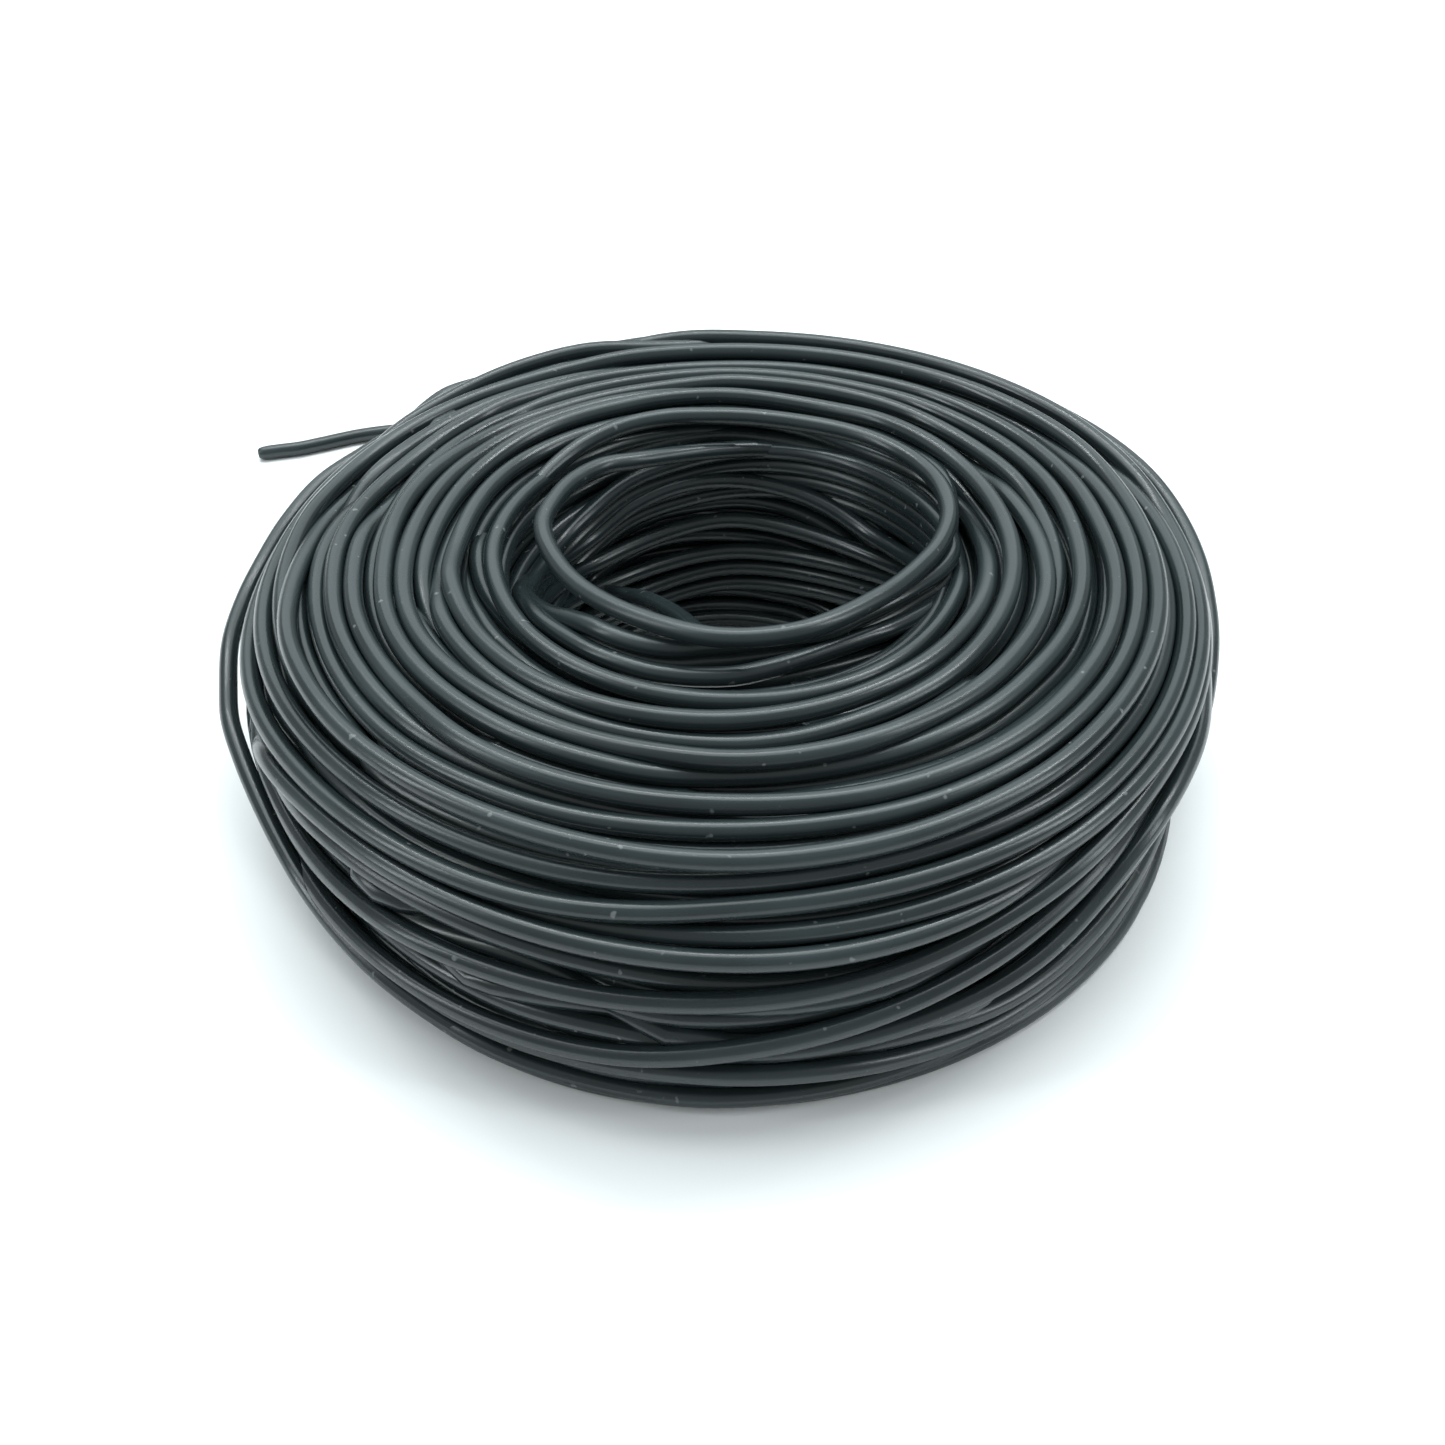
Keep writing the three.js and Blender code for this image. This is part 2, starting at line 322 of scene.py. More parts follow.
ring('h','i',{-180:9.4,-170:9.6,-160:9.8,-150:9.75,-140:9.7,-130:9.55,-120:9.45,-110:9.4,-100:9.45,-90:9.5,-80:9.45,-70:9.4,-60:9.3,-50:9.25,-40:9.15,-30:9.1,-20:9.0,-10:8.85,0:8.75,10:8.6,20:8.5,30:8.2,40:7.9,60:7.3,75:6.95,90:6.8,105:6.95,120:7.5,130:8.1,140:8.9,150:9.6,160:10.1,170:10.4},
     {-180:0,150:0,170:.2})
ring('i','j',{-180:10.55,-170:10.6,-160:10.6,-150:10.45,-140:10.4,-120:10.2,-100:10.0,-80:9.9,-60:9.8,-30:9.6,0:9.3,30:8.8,60:8.2,90:7.9,120:9.0,140:10.2,160:11.3,170:11.8},
     {-180:0,-165:.3,-150:.9,-140:1.3,60:1.3,120:.4,140:0,170:0})
ring('j','k0',{-180:12.1,-170:12.0,-160:11.75,-150:11.45,-140:11.2,-130:11.05,-120:10.95,-110:10.85,-100:10.7,-90:10.5,-80:10.35,-70:10.3,-60:10.3,-50:10.3,-40:10.2,-30:10.15,-20:10.05,-10:9.95,0:9.8,10:9.6,20:9.4,30:9.15,40:8.9,60:8.6,75:8.6,90:8.9,105:9.5,120:10.3,140:11.7,150:12.3,160:12.9,170:13.4},0.0)
ring('k0','kk',{-180:13.9,-170:13.9,-160:13.6,-150:13.1,-140:12.75,-130:12.6,-120:12.5,-110:12.35,-100:12.0,-90:11.55,-80:11.4,-70:11.35,-60:11.35,-50:11.35,-40:11.25,-30:11.15,-20:11.05,-10:11.0,0:10.9,20:10.5,40:10.1,60:9.9,90:10.2,120:11.4,140:12.8,160:14.4,170:15.1},0.0)
ring('kk','l',{-180:15.7,-170:15.6,-160:15.0,-150:14.3,-140:13.8,-130:13.3,-120:13.05,-110:12.95,-100:12.85,-90:12.8,-80:12.75,-70:12.75,-60:12.6,-50:12.4,-40:12.2,-30:12.1,-20:12.0,0:11.9,20:11.6,40:11.2,60:11.0,90:11.4,120:12.7,140:14.2,160:15.6,170:16.2},
     {-180:.3,-150:.8,-130:1.0,-110:.8,-90:.3,-70:0,170:.2})
ring('l','m',{-180:16.8,-160:15.6,-150:14.6,-140:13.8,-130:13.55,-120:13.55,-110:13.6,-100:13.7,-90:13.8,-80:13.85,-70:13.7,-60:13.45,-50:13.05,-40:12.75,-30:12.7,-20:12.8,0:12.9,20:12.6,40:12.3,60:12.2,90:12.7,120:14.0,140:15.4,160:17.0,170:17.5},
     {-180:.4,-150:.4,-130:0,-60:0,-50:.5,-40:.9,-20:.6,0:.2,20:0,170:.3})
ring('m','n',{-180:17.9,-160:17.0,-150:15.6,-140:14.6,-130:14.5,-120:14.45,-110:14.55,-100:14.8,-90:15.2,-80:15.3,-60:15.0,-40:14.6,-20:14.3,0:14.1,20:13.8,60:13.5,90:14.0,120:15.4,140:16.8,160:18.0,170:18.6},
     {-180:.3,-150:.8,-130:.6,-110:.6,-95:1.0,-60:1.0,-30:.6,0:0,160:0})
ring('n','o',{-180:19.2,-170:19.4,-160:19.3,-150:18.7,-140:17.85,-130:17.2,-120:16.7,-110:16.4,-100:16.2,-90:15.95,-80:15.7,-70:15.3,-60:14.75,-50:14.05,-40:13.4,-30:13.1,-20:13.2,0:13.2,20:13.4,60:14.6,90:15.4,120:17.0,140:18.2,160:19.6,170:20.4},
     {-180:0,-50:0,-20:0,160:0})
ring('o','q',{-180:21.0,-170:21.4,-160:21.4,-150:21.1,-140:20.8,-130:20.5,-120:20.4,-110:20.2,-100:19.8,-90:18.9,-80:18.1,-70:17.35,-60:16.7,-50:15.9,-40:15.2,-30:15.0,-20:15.2,0:15.6,30:16.0,60:16.6,90:17.6,120:19.0,140:20.2,160:21.6,170:22.1},
     {-180:-.3,-90:-.4,-60:-.2,-40:0,170:0})
ring('q','q',{-180:22.6,-160:22.8,-150:22.6,-140:22.3,-130:21.8,-120:21.5,-110:21.2,-100:20.9,-90:20.8,-80:21.2,-70:22.0,-60:23.0,-50:23.4,-40:23.5,0:23.3,60:23.4,120:23.3,160:22.9,170:22.7},
     {-180:0,-110:.2,-90:0})
ring('t1','t1',{-180:20.2,-150:19.8,-130:19.0,-110:18.5,-100:18.3,-90:19.6,-80:19.3,-70:19.1,-60:18.9,-52:18.2,-45:17.0,-38:16.3,-20:16.5,0:16.9,60:18.0,120:19.5,160:20.4},
     {-180:.8,-130:1.0,-110:.8,-100:.6,-85:.3,-70:.0,160:.5})
ring('t2','t2',{-180:18.4,-160:18.4,-140:16.5,-120:15.8,-110:15.4,-100:17.0,-90:17.1,-80:17.0,-70:17.0,-60:17.9,-50:17.6,-40:17.4,-20:17.9,0:18.4,60:19.4,120:20.8,160:19.3},
     {-180:1.1,-110:1.2,-60:.8,-30:.3,0:0,120:.3,150:.8})
ring('t3','t3',{-180:23.6,-140:23.6,-120:22.6,-110:21.9,-100:21.9,-90:22.0,-80:20.4,-70:20.3,-60:21.3,-50:21.5,-40:21.4,-20:21.2,0:20.9,60:21.4,120:22.1,160:23.2},
     {-180:.6,-120:.7,-100:.9,-85:.9,-65:.2,-40:0,120:.2})
ring('t4','t4',{-180:14.8,-150:16.2,-130:15.6,-110:17.6,-90:17.6,-70:18.4,-55:19.9,-40:19.3,-20:19.6,0:19.8,60:20.4,120:17.9,160:16.2},
     {-180:1.0,-120:1.5,-60:1.3,-30:.3,0:0,60:.2,120:.8})
ring('d','e1',{-180:4.75,-170:4.85,-160:5.1,-150:5.25,-140:5.3,-130:5.3,-120:5.35,-110:5.3,-100:5.3,-90:5.27,-80:5.25,-70:5.25,-60:5.25,-50:5.3,-40:5.2,-30:5.3,-20:5.3,-10:5.2,0:5.1,10:5.1,20:4.95,30:4.75,40:4.5,50:4.35,60:4.0,75:3.85,90:3.9,105:3.9,120:4.2,130:4.5,140:4.75,150:4.95,160:5.0,170:5.25},0.0)
ring('e1','d2',{-180:5.55,-170:5.65,-160:5.85,-150:6.0,-140:6.0,-130:6.05,-110:6.1,-90:6.1,-78:6.2,-70:6.25,-60:6.3,-50:6.3,-40:6.2,-30:6.3,-20:6.1,-10:5.95,0:5.85,20:5.6,60:4.6,90:4.2,120:4.6,150:5.0,170:4.9},
     {-180:.6,-150:.9,-130:1.3,-90:1.3,-78:.9,-60:.7,-30:.7,0:.8,20:1.2,60:1.4,150:1.4,170:1.4})
ring('d2','d',{-180:4.9,-90:4.7,-50:4.65,-30:4.6,-20:4.4,-10:4.2,0:3.95,10:3.75,20:3.5,30:3.3,40:3.15,50:3.0,60:2.85,75:2.7,90:2.5,105:2.6,120:2.9,130:3.1,140:3.55,150:3.9,160:4.35,170:4.6},
     {-180:1.4,-50:1.4,-30:.8,-10:.2,10:0,150:0,170:.1})
ring('A','A',{-180:-.7,-160:-.8,-140:-.65,-120:-.5,-100:-.35,-90:-.3,-75:-.15,-60:-.2,-30:-.65,0:-1.0,30:-1.0,60:-.95,90:-.9,120:-.9,150:-.8},
     {-180:0,-20:0,0:.2,30:.6,150:.3})
ring('z1','z1',{-180:23.8,-90:23.85,0:23.8,90:23.8},0.0)
ring('z2','z2',{-180:23.4,-120:22.9,-90:22.9,-60:22.6,-20:22.3,0:22.2,60:22.6,120:22.8,160:23.2},
     {-180:1.0,-90:.9,-60:.5,0:.2,90:.6,150:.9})

names = list(R)
idx = {n: i for i, n in enumerate(names)}
succ = np.array([idx[R[n][0]] for n in names])
pred = np.arange(len(names))
for i_, n_ in enumerate(succ):
    if n_ != i_ and succ[n_] != n_:
        pred[n_] = i_


def section():
    """The coil's section as distance along it and (radius, height)."""
    c = np.array(CTRL, float)
    seg = np.r_[0, np.cumsum(np.hypot(*np.diff(c, axis=0).T))]
    m = len(seg)

    def nat(y):
        h = np.diff(seg)
        A = np.zeros((m, m))
        b = np.zeros(m)
        A[0, 0], A[0, 1], A[0, 2] = -h[1], h[0] + h[1], -h[0]
        A[-1, -1], A[-1, -2], A[-1, -3] = -h[-2], h[-2] + h[-1], -h[-1]
        for i in range(1, m - 1):
            A[i, i - 1], A[i, i], A[i, i + 1] = h[i - 1], 2 * (h[i - 1] + h[i]), h[i]
            b[i] = 6 * ((y[i + 1] - y[i]) / h[i] - (y[i] - y[i - 1]) / h[i - 1])
        M = np.linalg.solve(A, b)

        def f(t):
            k = np.clip(np.searchsorted(seg, t) - 1, 0, m - 2)
            p, q = (seg[k + 1] - t) / h[k], (t - seg[k]) / h[k]
            return p * y[k] + q * y[k + 1] + ((p**3 - p) * M[k] + (q**3 - q) * M[k + 1]) * h[k] ** 2 / 6

        return f

    u = np.linspace(-2.5, seg[-1] + 0.5, 3000)
    p = np.c_[nat(c[:, 0])(u), nat(c[:, 1])(u)]
    s = np.r_[0, np.cumsum(np.hypot(*np.diff(p, axis=0).T))]
    return s - np.interp(0, u, s), p


SP, PR = section()
SN = np.gradient(PR, axis=0)
SN = np.c_[-SN[:, 1], SN[:, 0]]
SN /= np.linalg.norm(SN, axis=1)[:, None]


def bumpf(x, c, w):
    t = np.clip(np.abs(x - c) / w, 0, 1)
    return (np.cos(np.pi * t) + 1) / 2


def ease(x, lo_, hi_):
    t = np.clip((x - lo_) / (hi_ - lo_), 0, 1)
    return t * t * (3 - 2 * t)


def dent(s, th):
    """How far the wall stands in towards the axis: the coil narrows to the floor at its right and left."""
    right = 1.35 * bumpf(th, -26, 66) * ease(s, 12.0, 16.5)
    turn = np.where(th > 0, th - 360, th)
    left = 1.05 * bumpf(turn, -158, 62) * ease(s, 14.0, 18.5)
    back = 0.9 * bumpf(turn, -270, 100) * ease(s, 13.0, 18.0)
    return right + left + back + 0.3 * ease(s, 22.5, 24.0)


def prof(s, th):
    r = np.interp(s, SP, PR[:, 0]) - dent(s, th)
    return r, np.interp(s, SP, PR[:, 1])


def norm_at(s):
    return np.interp(s, SP, SN[:, 0]), np.interp(s, SP, SN[:, 1])


def hermite(x, y, t):
    d = np.diff(y) / np.diff(x)
    h = np.diff(x)
    m = np.r_[d[0], (d[:-1] * h[1:] + d[1:] * h[:-1]) / (h[1:] + h[:-1]), d[-1]]
    k = np.clip(np.searchsorted(x, t, side="right") - 1, 0, len(x) - 2)
    w = x[k + 1] - x[k]
    q = (t - x[k]) / w
    return (
        (2 * q**3 - 3 * q**2 + 1) * y[k]
        + (q**3 - 2 * q**2 + q) * w * m[k]
        + (-2 * q**3 + 3 * q**2) * y[k + 1]
        + (q**3 - q**2) * w * m[k + 1]
    )


def table(which):
    out = np.zeros((len(names), N))

    def get(n):
        v = R[n][which]
        return {-180: float(v)} if not isinstance(v, dict) else v

    for i, n in enumerate(names):
        v, nx, pv = get(n), get(names[succ[i]]), get(names[pred[i]])
        after = [(k + 360, nx[k]) for k in sorted(nx)][:3]
        before = [(k - 360, pv[k]) for k in sorted(pv)][-3:]
        if pred[i] == i and succ[i] != i:
            before = [(-540, v[sorted(v)[0]])]
        pts = before + [(k, v[k]) for k in sorted(v)] + after
        x, y = np.array([p[0] for p in pts], float), np.array([p[1] for p in pts], float)
        out[i] = hermite(x, y, TH)
    return out


S0, L0 = table(1), np.clip(table(2), -1.2, 1.6)
for _ in range(10):
    L0 = (np.c_[L0[pred, -1], L0[:, :-1]] + 2 * L0 + np.c_[L0[:, 1:], L0[succ, 0]]) / 4
TR = np.radians(TH)[None, :]
rs, zs = prof(S0, TH[None, :])
nr, nz = norm_at(S0)
# line of sight in each slice through the axis, and the direction across it
vr, vz = -0.745 * np.sin(TR) + 0 * S0, 0.667 + 0 * S0
vl = np.hypot(vr, vz)
vr, vz = vr / vl, vz / vl
lift = 0.9 * np.cos(TR) ** 2 * np.clip(nr, 0, 1)
wr, wz = vr + lift * nr, vz + lift * nz
wl = np.hypot(wr, wz)
wr, wz = wr / wl, wz / wl
r_t, z_t = rs - 0.9 * L0 * wr, zs - 0.9 * L0 * wz
a_t, b_t = r_t * vz - z_t * vr, r_t * vr + z_t * vz
VR, VZ = vr[:1], vz[:1]


def lap(x):
    """Smooths along the wire; each ring runs on into the next one."""
    left = np.c_[x[pred, -1], x[:, :-1]]
    right = np.c_[x[:, 1:], x[succ, 0]]
    return (left + 2 * x + right) / 4


a, b = a_t.copy(), b_t.copy()
GAP = 1.02
for it in range(160):
    da = a[:, None] - a[None]
    db = b[:, None] - b[None]
    dist = np.sqrt(da**2 + db**2) + 1e-6
    near = (dist < GAP) & (~np.eye(len(names), dtype=bool))[:, :, None]
    dl = L0[:, None] - L0[None]
    ordered = (np.abs(dl) > 0.25) & (np.abs(da) < 0.9)
    need = np.sqrt(np.maximum(GAP**2 - da**2, 0))
    over = np.where(dl < 0, need - db, -(need + db))
    push_b = np.where(near & ordered, np.where(dl < 0, np.maximum(over, 0), np.minimum(over, 0)), 0)
    over2 = GAP - dist
    circ = near & ~ordered
    push_a = np.where(circ, da / dist * over2, 0)
    push_b = push_b + np.where(circ, db / dist * over2, 0)
    a = a + 0.32 * push_a.sum(1)
    b = b + 0.32 * push_b.sum(1)
    a = a + 0.12 * (a_t - a)
    b = b + 0.05 * (b_t - b)
    ea, eb = a - a_t, b - b_t
    for _ in range(2):
        ea, eb = lap(ea), lap(eb)
    inner_rings = (rs < 17.0).mean(1)[:, None]
    for _ in range(3):
        ea, eb = ea + inner_rings * (lap(ea) - ea), eb + inner_rings * (lap(eb) - eb)
    a, b = a_t + ea, b_t + eb
    # nothing lies below the floor
    z = b * VZ - a * VR
    low = np.maximum(0.51 - z, 0)
    b = b + low * VZ
    a = a - low * VR
r_w, z_w = a * VZ + b * VR, b * VZ - a * VR
z_w = np.maximum(z_w, 0.51)


# ------------------------------------------------------------------ turns beneath, which show in the gaps
def fill(offset, pitch, s_from, s_to, seed, wob):
    g = np.random.default_rng(seed)
    k = int(round((s_to - s_from) / pitch)) + 1
    s = np.linspace(s_from, s_to, k)[:, None] + np.zeros((1, N))
    for i in range(k):
        for h in (1, 2, 3):
            s[i] += wob / h * g.normal() * np.cos(h * np.radians(TH) + g.uniform(0, 6.3))
    r, z = prof(s, TH[None, :])
    n_r, n_z = norm_at(s)
    return r - offset * n_r, z - offset * n_z


def settle(r, z, fixed, rounds=90, pull=0.06):
    rt, zt = r.copy(), z.copy()
    for _ in range(rounds):
        for other_r, other_z, own in [(fr, fz, False) for fr, fz in fixed] + [(r, z, True)]:
            dr, dz = r[:, None] - other_r[None], z[:, None] - other_z[None]
            dist = np.sqrt(dr**2 + dz**2) + 1e-6
            over = np.maximum(GAP - dist, 0)
            if own:
                over = over * (~np.eye(len(r), dtype=bool))[:, :, None] * 0.5
            r = r + 0.55 * (dr / dist * over).sum(1)
            z = z + 0.55 * (dz / dist * over).sum(1)
        er, ez = r - rt, z - zt
        er = (np.roll(er, 1, 1) + 2 * er + np.roll(er, -1, 1)) / 4
        ez = (np.roll(ez, 1, 1) + 2 * ez + np.roll(ez, -1, 1)) / 4
        r, z = rt + er * (1 - pull), zt + ez * (1 - pull)
        z = np.maximum(z, 0.51)
    return r, z


r_2, z_2 = fill(0.98, 1.08, 0.4, 22.6, 7, 0.22)
r_2, z_2 = settle(r_2, z_2, [(r_w, z_w)])


def ring_xyz(r, z):
    t = np.radians(TH)
    return np.stack([r * np.cos(t), r * np.sin(t), z], -1)


# ------------------------------------------------------------------ pieces: free end first
free = Tubes()
tail_line = through(tail_pts, 190)
tip = np.ones(len(tail_line))
tip[-3:] = (0.99, 0.94, 0.80)
free.add(tail_line, False, sides=16, taper=tip)
free_end = free.build("free_end_wire", WIRE)

# ------------------------------------------------------------------ outer turns
chains = []
used = set()
for i in range(len(names)):
    if pred[i] == i and succ[i] != i:
        run = [i]
        while succ[run[-1]] != run[-1] and succ[run[-1]] not in run:
            run.append(succ[run[-1]])
        if succ[run[-1]] == run[-1]:
            run = run[:-1]
            chains.append((run, False, succ[run[-1]]))
        used.update(run)
for i in range(len(names)):
    if i in used:
        continue
    run = [i]
    while succ[run[-1]] != i:
        run.append(succ[run[-1]])
    used.update(run)
    chains.append((run, True, None))


def pull_in(ring, first):
    """Continues an end under its neighbours, so that it isn't seen."""
    k = 16
    r, z = ring
    s = np.linspace(0, 1, k + 1)[1:]
    return r - 1.9 * s**1.5 * 0.7, z - 1.9 * s**1.5


top, wall = Tubes(), Tubes()
for run, closed, into in chains:
    pts = []
    for i in run:
        pts.append(ring_xyz(r_w[i], z_w[i]))
    line = np.vstack(pts)
    if not closed:
        k = 20
        w = (np.arange(1, k + 1) / k) ** 1.4
        rb, zb = r_w[into][:k] - 1.5 * w, z_w[into][:k] - 1.2 * w
        t = np.radians(TH[:k])
        line = np.vstack([line, np.stack([rb * np.cos(t), rb * np.sin(t), np.maximum(zb, 0.51)], -1)])
        i = run[0]
        rb, zb = r_w[i][-k:], z_w[i][-k:]
        rb = r_w[i][0] + 0.6 * w[::-1]
        zb = z_w[i][0] - 2.2 * w[::-1]
        t = np.radians(TH[-k:])
        line = np.vstack([np.stack([rb * np.cos(t), rb * np.sin(t), zb], -1), line])
    line = smooth_line(line, closed, 8)
    if closed:
        mean_s = S0[run].mean()
        (top if mean_s < 11.0 else wall).add(line, True, sides=12)
    else:
        top.add(line, False, sides=12)

# the free end peels off the lowest turn: this stretch joins the two
foot = deg([(12, 24.9, 0.51), (20, 25.05, 0.51), (29, 25.25, 0.51), (37, 25.6, 0.51), (44, 25.9, 0.51), (49, 26.05, 0.51), (54, 26.1, 0.51), (55, 26.1, 0.51)])
wall.add(through(foot, 60), False, sides=14, radius=0.497)

# ------------------------------------------------------------------ hidden turns
under = Tubes()
for i in range(len(r_2)):
    under.add(ring_xyz(r_2[i], z_2[i])[::2], True, sides=8)

# ------------------------------------------------------------------ bore wall and the loose turns in the bore
BORE = [
    # (angle, radius, height)
    [(143, 11.9, 6.2), (125, 12.0, 8.3), (111, 12, 9.3), (99, 12, 9.65), (89, 12, 9.7), (73, 12, 9.5), (60, 12, 9.05), (49, 12, 8.4), (39, 12, 7.4), (20, 12, 6.4), (-30, 12, 7.6), (-90, 12, 9.2), (-150, 12, 7.2), (-180, 12, 6.2)],
    [(134, 12, 6.9), (113, 12, 8.05), (101, 12, 8.3), (86, 12, 8.55), (72, 12, 8.3), (59, 12, 7.7), (48, 12, 6.8), (30, 12, 5.4), (-30, 12, 6.4), (-90, 12, 8.0), (-150, 12, 6.4)],
    [(135, 12, 4.9), (127, 12, 5.4), (116, 12, 5.95), (107, 12, 6.2), (98, 12, 6.2), (86, 12, 6.05), (74, 12, 5.9), (62, 12, 5.5), (51, 12, 5.0), (0, 12, 4.2), (-90, 12, 6.6), (-150, 12, 5.0)],
    [(145, 12, 3.4), (124, 12, 3.7), (113, 12, 4.25), (104, 12, 4.45), (92, 12, 4.5), (80, 12, 4.6), (65, 12, 4.5), (50, 12, 4.0), (0, 12, 3.0), (-90, 12, 5.4), (-150, 12, 3.8)],
    [(140, 12, 2.3), (117, 12, 2.8), (107, 12, 3.05), (98, 12, 3.2), (86, 12, 3.3), (74, 12, 3.3), (61, 12, 3.05), (30, 12, 2.4), (-30, 12, 2.0), (-90, 12, 4.2), (-150, 12, 2.7)],
    [(140, 11.8, 1.5), (111, 11.8, 1.85), (101, 11.8, 2.0), (89, 11.8, 2.05), (77, 11.8, 1.9), (57, 11.8, 1.7), (0, 11.8, 1.2), (-90, 11.9, 3.0), (-150, 11.8, 1.7)],
    [(140, 11.5, .6), (104, 11.4, .95), (92, 11.4, .95), (80, 11.4, .9), (64, 11.5, .7), (0, 11.6, .55), (-90, 11.9, 1.8), (-150, 11.6, .7)],
    [(150, 11.4, .52), (90, 10.7, .52), (30, 11.3, .52), (-30, 11.5, .52), (-90, 11.7, .6), (-150, 11.5, .52)],
    [(145, 12, 7.4), (136, 12, 9.5), (120, 12, 10.65), (103, 12, 11.6), (88, 12, 12.0), (77, 12, 12.1), (60, 12.1, 11.9), (35, 12.1, 11.4), (0, 12.0, 11.3), (-40, 12, 11.6), (-90, 12, 11.9), (-140, 12, 10.6), (-180, 12, 8.0), (-200, 12, 7.2)],
    [(160, 12, 9.8), (130, 12.1, 10.2), (105, 12.1, 10.7), (83, 12, 11.0), (75, 12, 10.85), (63, 12, 10.3), (49, 12, 9.65), (38, 12, 8.8), (20, 12, 8.2), (-30, 12, 9.3), (-90, 12, 10.7), (-140, 12, 9.4), (-170, 12, 9.6)],
    [(170, 12.3, 12.0), (130, 12.4, 12.3), (90, 12.4, 12.9), (40, 12.3, 12.8), (0, 12.2, 12.6), (-45, 12.2, 12.8), (-90, 12.3, 13.0), (-140, 12.3, 12.7)],
]
bore = Tubes()
for route in BORE:
    p = through(deg(sorted(route, key=lambda q: q[0])), 190, closed=True)
    bore.add(p, True, sides=10)
g = np.random.default_rng(99)
for k in range(11):
    zc = 0.9 + 1.12 * k
    p = through(deg([(a, 13.0 + 0.1 * g.normal(), zc + 0.25 * g.normal()) for a in range(-180, 180, 30)]), 120, closed=True)
    bore.add(p, True, sides=8)

# ring of the bore's front edge, just inside the outer turns (seen below the raised turn)
loose = Tubes()
LOOSE = [
    # lower companion of the raised turn
    [(-165, 10.6, 11.9), (-150, 10.25, 13.0), (-140, 10.05, 13.75), (-131, 10.15, 14.3), (-125, 10.2, 14.4), (-119, 10.15, 14.4), (-112, 10.05, 14.4), (-104, 9.8, 14.4), (-97, 9.4, 14.4), (-90, 9.2, 14.4),
     (-74, 9.0, 14.35), (-59, 9.4, 14.35), (-47, 9.5, 14.35), (-36, 9.95, 14.4), (-25, 10.6, 14.4), (-15, 11.3, 14.3), (-5, 11.7, 14.1), (10, 11.7, 13.7), (30, 11.6, 13.2), (50, 11.6, 12.9), (70, 11.6, 12.6),
     (88, 11.5, 12.3), (103, 11.5, 11.8), (120, 11.4, 11.3), (136, 11.3, 10.3), (150, 11.2, 9.7), (170, 11.0, 9.9), (182, 10.9, 10.7)],
    # the next one down, along the bore's front edge
    [(-157, 10.9, 12.6), (-146, 10.9, 13.1), (-136, 10.9, 13.4), (-127, 10.95, 13.55), (-119, 10.95, 13.6), (-110, 10.95, 13.6), (-102, 10.85, 13.6), (-96, 10.75, 13.6),
     (-88, 10.6, 13.6), (-80, 10.3, 13.6), (-71, 10.05, 13.6), (-60, 9.95, 13.6), (-52, 10.1, 13.6), (-40, 10.6, 13.5), (-25, 11.2, 13.1), (0, 11.5, 11.6), (20, 11.3, 9.8), (40, 11.2, 9.2), (60, 11.2, 9.9), (75, 11.2, 10.3),
     (90, 11.2, 10.5), (105, 11.2, 10.35), (120, 11.2, 9.7), (135, 11.2, 8.7), (150, 11.2, 8.6), (170, 11.2, 9.8), (185, 11.1, 11.2)],
    # turns that have sagged off the front of the bore wall
    [(-150, 10.95, 10.7), (-130, 10.8, 12.0), (-115, 10.6, 12.6), (-100, 10.2, 12.7), (-85, 9.95, 12.65), (-70, 9.8, 12.5), (-55, 10.0, 12.3), (-35, 10.9, 12.0), (-10, 11.5, 10.6), (30, 11.5, 8.0), (90, 11.3, 7.6), (140, 11.0, 7.0), (180, 11.0, 8.7)],
    [(-150, 10.95, 9.4), (-130, 10.6, 10.9), (-115, 10.1, 11.5), (-100, 9.55, 11.65), (-85, 9.2, 11.6), (-70, 9.1, 11.4), (-55, 9.5, 11.2), (-35, 10.7, 10.8), (-10, 11.4, 9.6), (30, 11.5, 7.0), (90, 11.4, 5.2), (140, 11.0, 5.2), (180, 11.0, 7.3)],
    [(-150, 11.0, 8.1), (-125, 10.2, 10.0), (-105, 9.2, 10.4), (-85, 8.5, 10.4), (-65, 8.6, 10.1), (-45, 9.8, 9.7), (-15, 11.3, 8.5), (30, 11.5, 5.8), (90, 11.5, 3.9), (140, 11.0, 3.6), (180, 11.0, 5.9)],
    [(-150, 10.9, 6.8), (-125, 9.8, 8.7), (-105, 8.5, 9.2), (-85, 7.8, 9.2), (-65, 8.0, 8.9), (-45, 9.3, 8.4), (-15, 11.2, 7.2), (30, 11.5, 4.6), (90, 11.5, 2.7), (140, 11.0, 2.4), (180, 11.0, 4.6)],
]
INNER = [[-1.6,10.9,15.05],[1.9,10.6,15.1],[6.9,8.9,15.15],[9.7,6.7,15.15],[11.3,3.9,15.15],[11.65,1.1,15.15],[10.9,-1.9,15.25],[9.5,-4.4,15.4],[7.4,-7.0,15.6],[3.4,-9.95,15.8],[-0.4,-10.3,15.7],[-4.2,-8.4,15.35],[-7.3,-5.5,15.0],[-9.0,-2.4,14.8],[-9.75,0.7,14.6],[-9.3,3.2,14.45],[-8.5,5.1,14.35],[-7.0,6.9,14.2],[-5.1,7.9,13.95]]
inner = Tubes()
start_in = deg([(172, 13.0, 11.5), (163, 12.8, 12.2), (155, 12.5, 12.9), (144, 12.4, 13.6), (132, 12.3, 14.2), (120, 12.0, 14.65), (108, 11.45, 14.95)])
end_in = [(-3.0, 9.2, 13.5), (-0.6, 10.4, 13.05), (2.2, 11.3, 12.6), (5.4, 11.5, 12.2), (8.4, 10.4, 11.9)]
inner.add(through(start_in + INNER + end_in, 300), False, sides=16)
